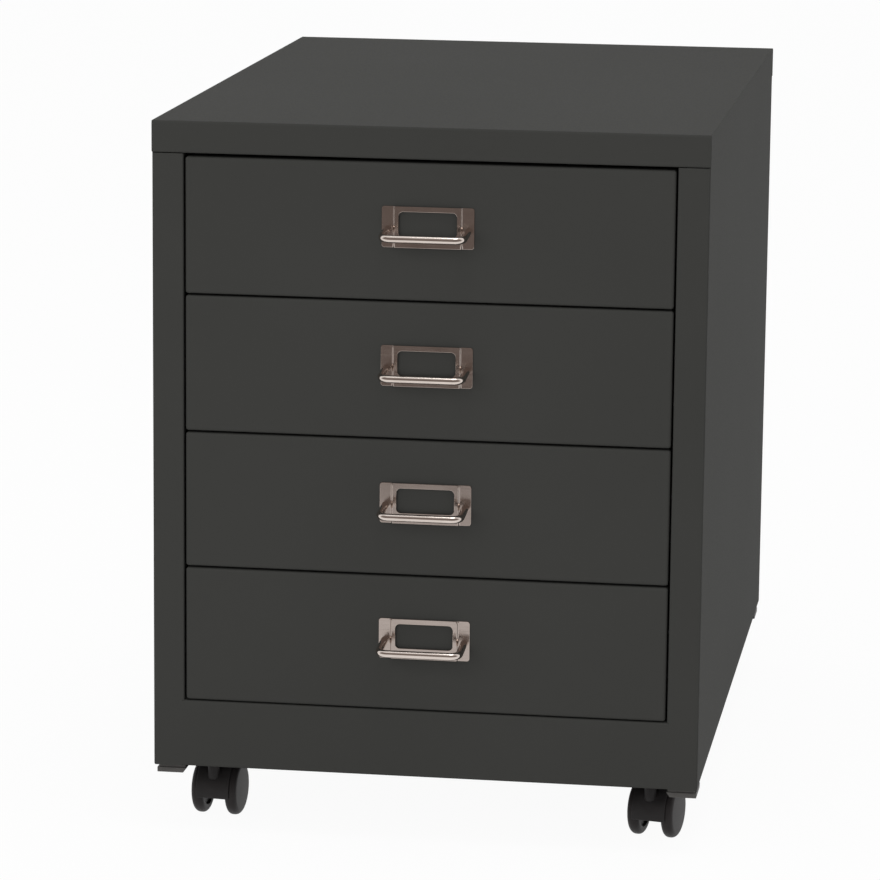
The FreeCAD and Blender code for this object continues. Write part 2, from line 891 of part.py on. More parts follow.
def save(name, shape):
    """Writes one sub-part and prints its solids and volume."""
    shape.exportStep(os.path.join("parts", name + ".step"))
    print(name, len(shape.Solids), "solids", round(shape.Volume), "cubic mm", shape.isValid())


def build():
    """Makes every sub-part and writes it."""
    os.makedirs("parts", exist_ok=True)
    side_panel = make_side_panel()
    uprights = make_uprights()
    runners = make_cabinet_runners()
    save("lid", make_lid())
    save("left_side_panel", mirrored(side_panel))
    save("right_side_panel", side_panel)
    save("rear_panel", make_rear_panel())
    save("rear_rivets", make_rear_rivets())
    save("base_panel", make_base_panel())
    save("plinth", make_plinth())
    save("front_top_rail", make_top_rail())
    save("left_slide_uprights", mirrored(uprights))
    save("right_slide_uprights", uprights)
    save("left_cabinet_runners", mirrored(runners))
    save("right_cabinet_runners", runners)
    save("corner_feet", make_corner_feet())
    save("castor_stems", make_castor_stems())
    save("castor_nuts", make_castor_nuts())
    for number in range(1, drawer_count + 1):
        drawer = "drawer_" + str(number)
        save(drawer + "_front", make_front(number))
        save(drawer + "_tray", make_tray(number))
        save(drawer + "_runners", make_drawer_runners(number))
        save(drawer + "_ball_cages", make_ball_cages(number))
        save(drawer + "_label_plate", make_label_plate(number))
        save(drawer + "_pull_bar", make_pull_bar(number))
        save(drawer + "_handle_screws", make_handle_screws(number))
    for corner, place in castor_places().items():
        pieces = {
            "_hood": make_hood(place),
            "_axle": make_axle(place),
            "_left_wheel": make_wheel(place, -1),
            "_right_wheel": make_wheel(place, 1),
        }
        for ending, shape in pieces.items():
            save("castor_" + corner + ending, turned(shape, place, castor_turns[corner]))


build()
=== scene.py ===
"""Looks of the steel drawer cabinet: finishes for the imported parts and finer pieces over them."""

import json
import logging
import math
from dataclasses import dataclass
from enum import StrEnum
from typing import Callable, Iterable, Sequence

import bmesh
import bpy
from mathutils import Matrix, Vector


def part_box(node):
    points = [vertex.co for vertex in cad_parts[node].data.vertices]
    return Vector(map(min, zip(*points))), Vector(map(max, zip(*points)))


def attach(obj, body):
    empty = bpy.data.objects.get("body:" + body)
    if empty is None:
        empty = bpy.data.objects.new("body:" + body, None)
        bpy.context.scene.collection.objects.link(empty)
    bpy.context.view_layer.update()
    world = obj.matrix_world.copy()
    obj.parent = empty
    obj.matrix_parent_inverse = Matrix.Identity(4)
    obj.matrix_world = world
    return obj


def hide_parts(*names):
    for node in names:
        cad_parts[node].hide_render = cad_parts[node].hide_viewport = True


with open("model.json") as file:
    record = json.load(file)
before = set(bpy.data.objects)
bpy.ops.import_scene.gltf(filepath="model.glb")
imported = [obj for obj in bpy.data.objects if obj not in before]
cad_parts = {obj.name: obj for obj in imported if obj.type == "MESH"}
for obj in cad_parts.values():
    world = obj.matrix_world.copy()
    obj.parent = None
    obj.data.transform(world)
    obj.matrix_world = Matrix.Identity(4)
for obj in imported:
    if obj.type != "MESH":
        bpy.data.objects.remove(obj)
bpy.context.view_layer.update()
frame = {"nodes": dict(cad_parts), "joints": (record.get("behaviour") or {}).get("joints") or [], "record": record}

log = logging.getLogger("drawer_cabinet")

Colour = tuple[float, float, float, float]
Point = tuple[float, float, float]
Socket = bpy.types.NodeSocket
EdgeTest = Callable[[Vector, Vector], bool]

MM = 0.001
MERGE_DISTANCE = MM / 1000
FLAT_LIMIT = 0.001
HALF_TURN = 180.0
RIGHT_ANGLE = 90.0
X_AXIS = Vector((1.0, 0.0, 0.0))
Y_AXIS = Vector((0.0, 1.0, 0.0))
WHITE: Colour = (1.0, 1.0, 1.0, 1.0)
DRAWERS = (1, 2, 3, 4)

# The standard curve from a display's levels to linear light.
LEVELS = 255
CURVE_KNEE = 0.04045
CURVE_SLOPE = 12.92
CURVE_OFFSET = 0.055
CURVE_SCALE = 1.055
CURVE_POWER = 2.4


class Corner(StrEnum):
    """The corners of the cabinet, as their castors are named."""

    FRONT_LEFT = "front_left"
    FRONT_RIGHT = "front_right"
    REAR_LEFT = "rear_left"
    REAR_RIGHT = "rear_right"


class Side(StrEnum):
    """The sides of a castor, as its wheels are named."""

    LEFT = "left"
    RIGHT = "right"

    def outwards(self) -> float:
        """Gives the sign of the way from the castor's middle to this side."""
        return -1.0 if self is Side.LEFT else 1.0


def tone(red: int, green: int, blue: int) -> Colour:
    """Turns a display colour, 0 to 255, into a linear one.

    Args:
        red: The red level.
        green: The green level.
        blue: The blue level.

    Returns:
        The linear colour with full alpha.
    """

    def linear(level: int) -> float:
        """Gives one level's linear value."""
        share = level / LEVELS
        if share <= CURVE_KNEE:
            return share / CURVE_SLOPE
        return ((share + CURVE_OFFSET) / CURVE_SCALE) ** CURVE_POWER

    return linear(red), linear(green), linear(blue), 1.0


def colour_sockets(sockets: Iterable[Socket]) -> list[Socket]:
    """Picks the colour sockets out of a Mix node's sockets."""
    return [socket for socket in sockets if socket.type == "RGBA"]


class NodeBench:
    """A node tree, with short ways to add the nodes that the finishes and the studio share."""

    def __init__(self, tree: bpy.types.NodeTree) -> None:
        """Keeps the tree's nodes and links.

        Args:
            tree: The node tree of a material or of the world.
        """
        self.nodes = tree.nodes
        self.links = tree.links

    def mapped(self, source: Socket, span: tuple[float, float], low: float = 0.0, high: float = 1.0,
               smooth: bool = False) -> Socket:
        """Maps a value from one range to another.

        Args:
            source: The value.
            span: Where the change starts and ends.
            low: The result before the start.
            high: The result past the end.
            smooth: Whether the change eases in and out.

        Returns:
            The result.
        """
        node = self.nodes.new("ShaderNodeMapRange")
        if smooth:
            node.interpolation_type = "SMOOTHSTEP"
        node.inputs["From Min"].default_value, node.inputs["From Max"].default_value = span
        node.inputs["To Min"].default_value = low
        node.inputs["To Max"].default_value = high
        self.links.new(source, node.inputs["Value"])
        return node.outputs["Result"]

    def blended(self, factor: Socket, first: Colour, second: Colour | Socket) -> Socket:
        """Mixes two colours.

        Args:
            factor: 0 for the first, 1 for the second.
            first: The first colour.
            second: The second colour, plain or varying.

        Returns:
            The mixed colour.
        """
        node = self.nodes.new("ShaderNodeMix")
        node.data_type = "RGBA"
        start, end = colour_sockets(node.inputs)
        start.default_value = first
        if isinstance(second, Socket):
            self.links.new(second, end)
        else:
            end.default_value = second
        self.links.new(factor, node.inputs[0])
        return colour_sockets(node.outputs)[0]


class Recipe(NodeBench):
    """A finish's material: one Principled shader and the nodes that vary it."""

    NOISE_SPAN = (0.3, 0.7)

    def __init__(self, name: str) -> None:
        """Starts the material.

        Args:
            name: The material's name.
        """
        self.material = bpy.data.materials.new(name)
        self.material.use_nodes = True
        super().__init__(self.material.node_tree)
        self.shader = self.nodes["Principled BSDF"]
        self.place = self.nodes.new("ShaderNodeTexCoord").outputs["Object"]

    def set(self, **values: float | Colour) -> None:
        """Sets plain values on the shader's own sockets.

        Args:
            **values: Socket names, with underscores for spaces, and their values.
        """
        for name, value in values.items():
            self.shader.inputs[name.replace("_", " ")].default_value = value

    def feed(self, name: str, source: Socket) -> None:
        """Links a varying value to one of the shader's sockets."""
        self.links.new(source, self.shader.inputs[name])

    def stretched(self, scale: Sequence[float]) -> Socket:
        """Scales the object coordinates along each axis.

        Args:
            scale: The factors along X, Y and Z.

        Returns:
            The scaled coordinates.
        """
        mapping = self.nodes.new("ShaderNodeMapping")
        mapping.inputs["Scale"].default_value = scale
        self.links.new(self.place, mapping.inputs["Vector"])
        return mapping.outputs["Vector"]

    def noise(self, scale: float, detail: float = 2.0, place: Socket | None = None) -> Socket:
        """Adds a noise texture.

        Args:
            scale: Cells per metre.
            detail: How many finer layers it has.
            place: The coordinates to read, or None for the object's.

        Returns:
            The noise, about 0 to 1.
        """
        texture = self.nodes.new("ShaderNodeTexNoise")
        texture.inputs["Scale"].default_value = scale
        texture.inputs["Detail"].default_value = detail
        self.links.new(place or self.place, texture.inputs["Vector"])
        return texture.outputs["Fac"]

    def cloud(self, clouds: Socket, base: Colour, drift: Colour) -> None:
        """Lets the base colour drift with a noise.

        Args:
            clouds: The noise.
            base: The colour at its low end.
            drift: The colour at its high end.
        """
        self.feed("Base Color", self.blended(self.mapped(clouds, self.NOISE_SPAN), base, drift))

    def roughen(self, noise: Socket, smoothest: float, roughest: float) -> None:
        """Lets the roughness vary with a noise.

        Args:
            noise: The noise.
            smoothest: The roughness at its low end.
            roughest: The roughness at its high end.
        """
        self.feed("Roughness", self.mapped(noise, self.NOISE_SPAN, smoothest, roughest))

    def relief(self, layers: Iterable[tuple[Socket, float]]) -> None:
        """Adds bump layers to the shader's normal.

        Args:
            layers: Each a height socket and its depth in metres.
        """
        normal = None
        for height, depth in layers:
            bump = self.nodes.new("ShaderNodeBump")
            bump.inputs["Strength"].default_value = 1.0
            bump.inputs["Distance"].default_value = depth
            self.links.new(height, bump.inputs["Height"])
            if normal is not None:
                self.links.new(normal, bump.inputs["Normal"])
            normal = bump.outputs["Normal"]
        self.feed("Normal", normal)


@dataclass(frozen=True)
class PowderCoat:
    """A powder-coated sheet: a fine uneven skin whose tone and gloss drift a little."""

    name: str
    base: Colour
    drift: Colour
    roughness: float = 0.62
    roughness_drift: float = 0.05
    sheen_level: float = 0.02
    cloud_scale: float = 5.0
    skin_scale: float = 900.0
    ripple_scale: float = 260.0
    ripple_depth: float = 0.02 * MM
    skin_depth: float = 0.01 * MM

    def make(self) -> bpy.types.Material:
        """Builds the material."""
        recipe = Recipe(self.name)
        recipe.set(Specular_IOR_Level=self.sheen_level)
        skin = recipe.noise(self.skin_scale)
        ripple = recipe.noise(self.ripple_scale, detail=1.0)
        recipe.cloud(recipe.noise(self.cloud_scale, detail=3.0), self.base, self.drift)
        recipe.roughen(skin, self.roughness - self.roughness_drift, self.roughness + self.roughness_drift)
        recipe.relief(((ripple, self.ripple_depth), (skin, self.skin_depth)))
        return recipe.material


@dataclass(frozen=True)
class PlatedMetal:
    """A plated metal with fine brush marks along one axis and a slightly cloudy tint."""

    name: str
    base: Colour
    drift: Colour
    roughness: float
    smoother_by: float = 0.05
    rougher_by: float = 0.07
    cloud_scale: float = 70.0
    brush: Point = (60.0, 1600.0, 1600.0)
    brush_depth: float = 0.004 * MM

    def make(self) -> bpy.types.Material:
        """Builds the material."""
        recipe = Recipe(self.name)
        recipe.set(Metallic=1.0)
        streaks = recipe.noise(1.0, detail=3.0, place=recipe.stretched(self.brush))
        recipe.cloud(recipe.noise(self.cloud_scale), self.base, self.drift)
        recipe.roughen(streaks, self.roughness - self.smoother_by, self.roughness + self.rougher_by)
        recipe.relief(((streaks, self.brush_depth),))
        return recipe.material


@dataclass(frozen=True)
class MouldedPlastic:
    """A moulded plastic with a fine spark texture and faint flow clouds."""

    name: str
    base: Colour
    drift: Colour
    roughness: float
    roughness_drift: float = 0.06
    gloss_level: float = 0.18
    cloud_scale: float = 90.0
    grain_scale: float = 2600.0
    grain_depth: float = 0.02 * MM

    def make(self) -> bpy.types.Material:
        """Builds the material."""
        recipe = Recipe(self.name)
        recipe.set(Specular_IOR_Level=self.gloss_level)
        grain = recipe.noise(self.grain_scale)
        recipe.cloud(recipe.noise(self.cloud_scale), self.base, self.drift)
        recipe.roughen(grain, self.roughness - self.roughness_drift, self.roughness + self.roughness_drift)
        recipe.relief(((grain, self.grain_depth),))
        return recipe.material


FINISHES = {
    "painted_steel": PowderCoat("anthracite_powder_coat", tone(60, 60, 58), tone(62, 62, 60)),
    "front_paint": PowderCoat("anthracite_front_coat", tone(60, 60, 58), tone(62, 62, 60)),
    "tray_paint": PowderCoat("anthracite_tray_coat", tone(56, 56, 54), tone(59, 59, 57), 0.66),
    "zinc_steel": PlatedMetal("bright_zinc", tone(176, 178, 180), tone(160, 163, 168), 0.34),
    "satin_nickel": PlatedMetal("warm_satin_nickel", tone(176, 164, 157), tone(168, 156, 149), 0.16),
    "bar_nickel": PlatedMetal("polished_nickel_wire", tone(216, 205, 197), tone(206, 195, 187), 0.1),
    # Black nylon darkened past its own tone with painted shade: the hoods and wheels take the tone they show in
    # the shade under the cabinet.
    "castor_nylon": MouldedPlastic("castor_hood_nylon_shade_darkened", tone(34, 32, 32), tone(40, 38, 38), 0.5),
    "wheel_nylon": MouldedPlastic("castor_wheel_nylon_shade_darkened", tone(34, 31, 31), tone(40, 37, 37), 0.5),
    "axle_steel": PlatedMetal("drawn_axle_steel", tone(170, 170, 172), tone(150, 150, 154), 0.3),
    "foot_plastic": MouldedPlastic("corner_foot_plastic", tone(78, 76, 74), tone(86, 84, 82), 0.5),
}


class Workbench:
    """The bench where new meshes are shaped: short ways to call the bmesh operators."""

    @staticmethod
    def box(low: Vector, high: Vector) -> bmesh.types.BMesh:
        """Starts a shape as a box.

        Args:
            low: The lowest corner.
            high: The highest corner.

        Returns:
            The shape.
        """
        shape = bmesh.new()
        place = Matrix.Translation((low + high) / 2) @ Matrix.Diagonal((*(high - low), 1.0))
        bmesh.ops.create_cube(shape, size=1.0, matrix=place)
        return shape

    @staticmethod
    def soften(shape: bmesh.types.BMesh, edges: Sequence[bmesh.types.BMEdge], radius: float,
               steps: int) -> None:
        """Rounds edges.

        Args:
            shape: The shape.
            edges: The edges to round.
            radius: How far the rounding reaches.
            steps: How many faces it has.
        """
        bmesh.ops.bevel(shape, geom=list(edges), offset=radius, offset_type="OFFSET", segments=steps,
                        profile=0.5, affect="EDGES", clamp_overlap=True, material=-1)

    @staticmethod
    def edges(shape: bmesh.types.BMesh, test: EdgeTest) -> list[bmesh.types.BMEdge]:
        """Finds the edges whose two ends pass a test.

        Args:
            shape: The shape.
            test: Takes both ends of an edge.

        Returns:
            The edges.
        """
        return [edge for edge in shape.edges if test(edge.verts[0].co, edge.verts[1].co)]

    @staticmethod
    def sharp_edges(shape: bmesh.types.BMesh, degrees: float) -> list[bmesh.types.BMEdge]:
        """Finds the edges whose two faces meet at more than an angle."""
        return [edge for edge in shape.edges if edge.calc_face_angle(0.0) > math.radians(degrees)]

    @staticmethod
    def rod(shape: bmesh.types.BMesh, start: Vector, end: Vector, radius: float, rounding: float,
            sides: int = 48, steps: int = 3) -> None:
        """Adds a closed round rod with softened rims to a shape.

        Args:
            shape: The shape.
            start: The middle of one end.
            end: The middle of the other end.
            radius: The rod's radius.
            rounding: How far its two rims are rounded.
            sides: How many faces go round it.
            steps: How many faces the roundings have.
        """
        along = end - start
        turn = along.to_track_quat("Z", "Y").to_matrix().to_4x4()
        place = Matrix.Translation((start + end) / 2) @ turn
        made = bmesh.ops.create_cone(shape, cap_ends=True, segments=sides, radius1=radius, radius2=radius,
                                     depth=along.length, matrix=place)
        corners = set(made["verts"])
        axis = along.normalized()
        rims = [line for line in shape.edges if set(line.verts) <= corners
                and abs((line.verts[0].co - line.verts[1].co).dot(axis)) < along.length / 2]
        Workbench.soften(shape, rims, rounding, steps)

    @staticmethod
    def finish(shape: bmesh.types.BMesh, name: str, crease: float,
               flat_axis: Vector | None = None) -> bpy.types.Object:
        """Closes a shape's work: merges doubles, faces it outwards and links it.

        Args:
            shape: The shape, which is freed.
            name: The piece's name.
            crease: The angle in degrees past which an edge shades sharp.
            flat_axis: Faces square to it shade flat, where one is given.

        Returns:
            The piece.
        """
        bmesh.ops.remove_doubles(shape, verts=shape.verts, dist=MERGE_DISTANCE)
        bmesh.ops.recalc_face_normals(shape, faces=shape.faces)
        mesh = bpy.data.meshes.new(name)
        shape.to_mesh(mesh)
        shape.free()
        mesh.set_sharp_from_angle(angle=math.radians(crease))
        for face in mesh.polygons:
            face.use_smooth = flat_axis is None or face.normal.cross(flat_axis).length > FLAT_LIMIT
        piece = bpy.data.objects.new(name, mesh)
        bpy.context.scene.collection.objects.link(piece)
        return piece


class RoundBar:
    """A bent round bar, drawn ring by ring from its root."""

    def __init__(self, start: Vector, heading: Vector, radius: float, sides: int) -> None:
        """Starts the bar with its first ring.

        Args:
            start: The middle of the first ring.
            heading: The way that the bar first runs.
            radius: The bar's radius.
            sides: How many faces go round it.
        """
        self.shape = bmesh.new()
        self.tip = start.copy()
        self.heading = heading.normalized()
        turn = self.heading.to_track_quat("Z", "Y").to_matrix().to_4x4()
        bmesh.ops.create_circle(self.shape, cap_ends=True, segments=sides, radius=radius,
                                matrix=Matrix.Translation(start) @ turn)
        self.ring = list(self.shape.edges)

    def run(self, length: float) -> None:
        """Draws a straight stretch."""
        made = bmesh.ops.extrude_edge_only(self.shape, edges=self.ring)
        corners = {item for item in made["geom"] if isinstance(item, bmesh.types.BMVert)}
        step = self.heading * length
        bmesh.ops.translate(self.shape, verts=list(corners), vec=step)
        self.ring = [item for item in made["geom"]
                     if isinstance(item, bmesh.types.BMEdge) and set(item.verts) <= corners]
        self.tip += step

    def bend(self, axis: Vector, radius: float, degrees: float, steps: int) -> None:
        """Draws a bend.

        Args:
            axis: The bend turns about this by the right-hand rule.
            radius: The radius at the bar's middle line.
            degrees: How far it turns.
            steps: How many rings it has.
        """
        centre = self.tip + axis.cross(self.heading) * radius
        angle = math.radians(degrees)
        made = bmesh.ops.spin(self.shape, geom=self.ring, cent=centre, axis=axis, angle=angle,
                              steps=steps, use_merge=False, use_duplicate=False)
        self.ring = [item for item in made["geom_last"] if isinstance(item, bmesh.types.BMEdge)]
        turn = Matrix.Rotation(angle, 3, axis)
        self.tip = centre + turn @ (self.tip - centre)
        self.heading = turn @ self.heading

    def close(self) -> bmesh.types.BMesh:
        """Caps the last ring and hands the shape over."""
        bmesh.ops.edgeloop_fill(self.shape, edges=self.ring)
        return self.shape


@dataclass
class DrawerFront:
    """A drawer front: a folded pan with softly rounded front edges and a lip round its open back."""

    number: int
    edge_radius: float = 2.0 * MM
    edge_steps: int = 6
    sheet: float = 1.0 * MM
    lip: float = 14.0 * MM
    support_margin: float = 0.5 * MM
    crease: float = 50.0

    def build(self) -> bpy.types.Object:
        """Shapes the pan where its node is."""
        low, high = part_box(f"drawer_{self.number}_front")
        shape = Workbench.box(low, high)
        tiny = self.sheet / 10

        def rounded(start: Vector, end: Vector) -> bool:
            """Whether an edge runs back from a corner or borders the front."""
            return abs(start.y - end.y) > tiny or max(start.y, end.y) < low.y + tiny

        Workbench.soften(shape, Workbench.edges(shape, rounded), self.edge_radius, self.edge_steps)
        middle = (low + high) / 2
        back = max(shape.faces, key=lambda face: face.calc_center_median().y)
        bmesh.ops.inset_region(shape, faces=[back], thickness=self.lip, use_even_offset=True)
        back = self.squared(shape, back, middle, (high - low) / 2 - Vector((self.lip, 0.0, self.lip)))
        # Through the lip, outwards under it to the walls, and forwards to the front sheet.
        reach = self.lip - self.sheet
        inner_depth = high.y - low.y - 2 * self.sheet
        for sideways, forwards in ((0.0, self.sheet), (reach, 0.0), (0.0, inner_depth)):
            back = self.pushed(shape, back, middle, sideways, forwards)
        # A narrow border keeps the shading of the large faces flat.
        large = [face for face in shape.faces if face.calc_area() > self.lip * self.lip]
        bmesh.ops.inset_individual(shape, faces=large, thickness=self.support_margin, use_even_offset=True)
        return Workbench.finish(shape, f"drawer_front_{self.number}", self.crease)

    @staticmethod
    def squared(shape: bmesh.types.BMesh, face: bmesh.types.BMFace, middle: Vector,
                half: Vector) -> bmesh.types.BMFace:
        """Gathers the corners of the pan's floor into a plain rectangle.

        Args:
            shape: The shape.
            face: The floor so far.
            middle: The front's middle.
            half: Half the rectangle's sizes.

        Returns:
            The new floor.
        """
        corners = list(face.verts)
        for vert in corners:
            vert.co.x = middle.x + math.copysign(half.x, vert.co.x - middle.x)
            vert.co.z = middle.z + math.copysign(half.z, vert.co.z - middle.z)
        bmesh.ops.remove_doubles(shape, verts=corners, dist=MERGE_DISTANCE)
        shape.normal_update()
        backward = [found for found in shape.faces if found.normal.dot(Y_AXIS) > 1 / 2]
        return max(backward, key=lambda found: found.calc_area())

    @staticmethod
    def pushed(shape: bmesh.types.BMesh, face: bmesh.types.BMFace, middle: Vector, sideways: float,
               forwards: float) -> bmesh.types.BMFace:
        """Pushes the pan's floor on by one step.

        Args:
            shape: The shape.
            face: The floor so far.
            middle: The front's middle.
            sideways: How far the floor's border moves outwards in X and Z.
            forwards: How far the floor moves towards the front.

        Returns:
            The new floor.
        """
        made = bmesh.ops.extrude_discrete_faces(shape, faces=[face])["faces"][0]
        for vert in made.verts:
            vert.co.x += math.copysign(sideways, vert.co.x - middle.x)
            vert.co.z += math.copysign(sideways, vert.co.z - middle.z)
            vert.co.y -= forwards
        return made


@dataclass
class LabelPlate:
    """A pressed label holder: two flat flanks, a raised pocket and its round-cornered window."""

    number: int
    sheet: float = 0.8 * MM
    corner_radius: float = 2.0 * MM
    corner_steps: int = 6
    flank: float = 8.4 * MM
    pocket_step: float = 1.0 * MM
    window_width: float = 41.8 * MM
    window_height: float = 17.9 * MM
    window_top_margin: float = 3.9 * MM
    window_radius: float = 3.3 * MM
    fold_radius: float = 0.45 * MM
    fold_steps: int = 4
    fold_angle: float = 20.0
    rim_radius: float = 0.3 * MM
    rim_steps: int = 2
    rim_angle: float = 60.0
    crease: float = 40.0

    def frame_face(self, shape: bmesh.types.BMesh, low: Vector, high: Vector, radius: float) -> None:
        """Adds one upright rounded rectangle as a face.

        Args:
            shape: The shape.
            low: Its lowest corner; y is its plane.
            high: Its highest corner.
            radius: The corners' radius.
        """
        middle = Vector(((low.x + high.x) / 2, low.y, (low.z + high.z) / 2))
        size = Matrix.Diagonal((high.x - low.x, high.z - low.z, 1.0, 1.0))
        upright = Matrix.Rotation(math.radians(RIGHT_ANGLE), 4, "X")
        # The grid's size is half its side, so it is one unit wide before it is scaled.
        made = bmesh.ops.create_grid(shape, x_segments=1, y_segments=1, size=1 / 2,
                                     matrix=Matrix.Translation(middle) @ upright @ size)
        bmesh.ops.bevel(shape, geom=made["verts"], offset=radius, offset_type="OFFSET",
                        segments=self.corner_steps, profile=0.5, affect="VERTICES", material=-1)

    def build(self) -> bpy.types.Object:
        """Shapes the plate where its node is."""
        low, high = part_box(f"drawer_{self.number}_label_plate")
        middle_x = (low.x + high.x) / 2
        fold_x = (high.x - low.x) / 2 - self.flank
        pocket_x = fold_x - self.pocket_step
        front_y = high.y - self.sheet
        window_top = high.z - self.window_top_margin
        half_window = self.window_width / 2
        shape = bmesh.new()
        self.frame_face(shape, Vector((low.x, front_y, low.z)), Vector((high.x, front_y, high.z)),
                        self.corner_radius)
        self.frame_face(shape, Vector((middle_x - half_window, front_y, window_top - self.window_height)),
                        Vector((middle_x + half_window, front_y, window_top)), self.window_radius)
        bmesh.ops.delete(shape, geom=shape.faces[:], context="FACES_ONLY")
        bmesh.ops.bridge_loops(shape, edges=shape.edges[:])
        for line_x in (-fold_x, -pocket_x, pocket_x, fold_x):
            bmesh.ops.bisect_plane(shape, geom=shape.verts[:] + shape.edges[:] + shape.faces[:],
                                   plane_co=(middle_x + line_x, 0.0, 0.0), plane_no=X_AXIS)
        tiny = self.sheet / 100
        raised = [vert for vert in shape.verts if abs(vert.co.x - middle_x) < pocket_x + tiny]
        bmesh.ops.translate(shape, verts=raised, vec=Y_AXIS * (low.y - front_y))
        bmesh.ops.recalc_face_normals(shape, faces=shape.faces)
        if shape.faces[0].normal.y > 0:
            bmesh.ops.reverse_faces(shape, faces=shape.faces)
        bmesh.ops.solidify(shape, geom=shape.faces[:], thickness=self.sheet)
        folds = [edge for edge in Workbench.sharp_edges(shape, self.fold_angle)
                 if abs(edge.verts[0].co.x - edge.verts[1].co.x) < tiny
                 and abs(abs(edge.verts[0].co.x - middle_x) - (fold_x + pocket_x) / 2) < self.pocket_step]
        Workbench.soften(shape, folds, self.fold_radius, self.fold_steps)
        rims = Workbench.sharp_edges(shape, self.rim_angle)
        Workbench.soften(shape, rims, self.rim_radius, self.rim_steps)
        return Workbench.finish(shape, f"label_plate_{self.number}", self.crease, Y_AXIS)


@dataclass
class PullBar:
    """A wire pull: a round bar with two bent legs that run back to the drawer front."""

    number: int
    bend_radius: float = 6.5 * MM
    bend_steps: int = 18
    diameter: float = 5.4 * MM
    sides: int = 48
    crease: float = 40.0

    def build(self) -> bpy.types.Object:
        """Draws the bar where its node is."""
        low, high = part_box(f"drawer_{self.number}_pull_bar")
        radius = self.diameter / 2
        root = Vector((low.x + radius, high.y, high.z - radius))
        corner = Vector((low.x + radius, low.y + radius, low.z + radius))
        leg = corner - root
        axis = leg.normalized().cross(X_AXIS).normalized()
        span = high.x - low.x - self.diameter
        bar = RoundBar(root, leg, radius, self.sides)
        for stretch in (leg.length - self.bend_radius, span - 2 * self.bend_radius):
            bar.run(stretch)
            bar.bend(axis, self.bend_radius, RIGHT_ANGLE, self.bend_steps)
        bar.run(leg.length - self.bend_radius)
        return Workbench.finish(bar.close(), f"pull_bar_{self.number}", self.crease)


class CastorFrame:
    """A castor's own frame: its stem is at x = 0, y = 0, and its axle runs along X."""

    def __init__(self, corner: Corner) -> None:
        """Reads the castor's place and turn from its joints.

        Args:
            corner: The castor's corner.
        """
        joints = {joint["name"]: joint for joint in frame["joints"]}
        spin = joints[f"castor_{corner}_left_wheel_spin"]
        stem = Vector(joints[f"castor_{corner}_swivel"]["pos_m"])
        stem.z = 0.0
        along = Vector(spin["axis"])
        turn = Matrix.Rotation(math.atan2(along.y, along.x), 4, "Z")
        self.axle = turn.inverted() @ (Vector(spin["pos_m"]) - stem)
        self.matrix = Matrix.Translation(stem) @ turn

    def place(self, shape: bmesh.types.BMesh) -> bmesh.types.BMesh:
        """Moves a shape from the castor's frame to the cabinet's."""
        bmesh.ops.transform(shape, matrix=self.matrix, verts=shape.verts)
        return shape


@dataclass
class CastorHood:
    """A castor's hood: a fender over both wheels, a web between them and the stem boss."""

    corner: Corner
    wheel_radius: float = 20.0 * MM
    fender_gap: float = 0.7 * MM
    fender_wall: float = 1.1 * MM
    fender_half_width: float = 12.5 * MM
    fender_steps: int = 40
    front_angle: float = 10.0
    rear_angle: float = 15.0
    edge_angle: float = 60.0
    edge_share: float = 0.45
    edge_steps: int = 3
    web_half_width: float = 6.8 * MM
    hub_radius: float = 8.5 * MM
    hub_rounding: float = 0.6 * MM
    boss_radius: float = 4.5 * MM
    boss_bottom: float = 30.0 * MM
    boss_rounding: float = 2.0 * MM
    boss_sides: int = 40
    flange_radius: float = 10.0 * MM
    flange_height: float = 3.0 * MM
    flange_rounding: float = 0.5 * MM
    crease: float = 35.0

    def add_arc(self, shape: bmesh.types.BMesh, axle: Vector, outer: float, half_width: float,
                thickness: float) -> None:
        """Spins a strip round the axle from the hood's front edge to its rear edge.

        Args:
            shape: The shape.
            axle: The middle of the axle.
            outer: The strip's outer radius.
            half_width: Half its width.
            thickness: How thick it is, inwards.
        """
        start_angle = math.radians(HALF_TURN + self.front_angle)
        sweep = math.radians(HALF_TURN + self.front_angle - self.rear_angle)
        rim = Vector((0.0, outer * math.cos(start_angle), outer * math.sin(start_angle)))
        side = X_AXIS * half_width
        ends = [shape.verts.new(axle + rim - side), shape.verts.new(axle + rim + side)]
        line = shape.edges.new(ends)
        before = set(shape.faces)
        bmesh.ops.spin(shape, geom=ends + [line], cent=axle, axis=X_AXIS, angle=-sweep,
                       steps=self.fender_steps, use_merge=False, use_duplicate=False)
        shell = [face for face in shape.faces if face not in before]
        bmesh.ops.recalc_face_normals(shape, faces=shell)
        outward = shell[0].normal.dot(shell[0].calc_center_median() - axle) > 0
        if not outward:
            bmesh.ops.reverse_faces(shape, faces=shell)
        bmesh.ops.solidify(shape, geom=shell, thickness=thickness)

    def build(self) -> bpy.types.Object:
        """Shapes the hood where its node is."""
        castor = CastorFrame(self.corner)
        axle = castor.axle
        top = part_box(f"castor_{self.corner}_hood")[1].z
        shape = bmesh.new()
        outer = self.wheel_radius + self.fender_gap + self.fender_wall
        self.add_arc(shape, axle, outer, self.fender_half_width, self.fender_wall)
        edges = Workbench.sharp_edges(shape, self.edge_angle)
        Workbench.soften(shape, edges, self.fender_wall * self.edge_share, self.edge_steps)
        inside = outer - self.fender_wall / 2
        self.add_arc(shape, axle, inside, self.web_half_width, inside - self.hub_radius / 2)
        side = X_AXIS * self.web_half_width
        Workbench.rod(shape, axle - side, axle + side, self.hub_radius, self.hub_rounding)
        post = Vector((0.0, 0.0, top))
        foot = Vector((0.0, 0.0, self.boss_bottom))
        Workbench.rod(shape, foot, post, self.boss_radius, self.boss_rounding, self.boss_sides)
        collar = post - Vector((0.0, 0.0, self.flange_height))
        Workbench.rod(shape, collar, post, self.flange_radius, self.flange_rounding)
        return Workbench.finish(castor.place(shape), f"castor_hood_{self.corner}", self.crease)


